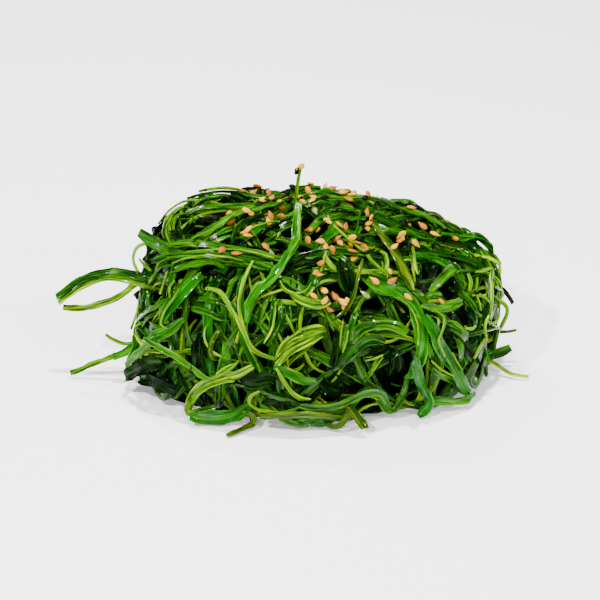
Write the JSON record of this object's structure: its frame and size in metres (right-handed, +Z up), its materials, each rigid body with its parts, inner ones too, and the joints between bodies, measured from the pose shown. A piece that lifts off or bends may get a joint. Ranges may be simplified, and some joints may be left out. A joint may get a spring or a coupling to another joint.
{
  "type": "wakame seaweed salad heap",
  "caption": "Mounded serving of dressed shredded wakame strips and threads with tan and black sesame seeds on top, resting flat.",
  "frame": {"origin": "middle of the heap's footprint, on the surface it rests on", "axes": "+X along its width, -Y towards the front of the picture, +Z up"},
  "size_m": [0.1246, 0.0884, 0.0496],
  "materials": {
    "tangle": "wet, glossy dark green tangle of strips",
    "stem_green": "wet, glossy green with fibre streaks",
    "bright_blade": "wet, glossy bright green",
    "lime_thread": "wet, translucent lime green",
    "olive_strip": "wet, glossy olive green",
    "dark_frond": "wet, glossy and nearly black green",
    "tan_sesame": "dry satin seed skin",
    "black_sesame": "satin black seed skin"
  },
  "bodies": {
    "root": {"black_sesame_1": "black_sesame", "black_sesame_2": "black_sesame", "black_sesame_3": "black_sesame", "black_sesame_4": "black_sesame", "black_sesame_5": "black_sesame", "brown_twig": "olive_strip", "centre_arch": "stem_green", "centre_bud": "lime_thread", "centre_fold": "stem_green", "centre_leaf": "bright_blade", "centre_lime": "lime_thread", "centre_root": "lime_thread", "comb_lower": "stem_green", "comb_upper": "stem_green", "falling_bright": "bright_blade", "foot_blade": "bright_blade", "foot_curl": "olive_strip", "foot_hook": "stem_green", "foot_ring": "lime_thread", "foot_tail": "olive_strip", "front_hook": "lime_thread", "left_crossing": "bright_blade", "left_dark": "dark_frond", "left_edge": "lime_thread", "left_leaf": "bright_blade", "left_slant": "bright_blade", "left_tapering": "bright_blade", "lime_fork_left": "lime_thread", "lime_fork_right": "lime_thread", "loop_edge": "stem_green", "olive_diagonal": "olive_strip", "ridge_strip": "stem_green", "right_blade": "bright_blade", "right_drop": "bright_blade", "right_hem": "bright_blade", "right_shoulder": "stem_green", "right_stub": "bright_blade", "shoulder_diagonal": "bright_blade", "shoulder_lower": "stem_green", "shoulder_top": "lime_thread", "shoulder_upper": "stem_green", "tan_sesame_1": "tan_sesame", "tan_sesame_2": "tan_sesame", "tan_sesame_3": "tan_sesame", "tan_sesame_4": "tan_sesame", "tan_sesame_5": "tan_sesame", "tan_sesame_6": "tan_sesame", "tan_sesame_7": "tan_sesame", "tan_sesame_8": "tan_sesame", "tangle": "tangle", "wide_blade": "bright_blade"}
  },
  "joints": []
}
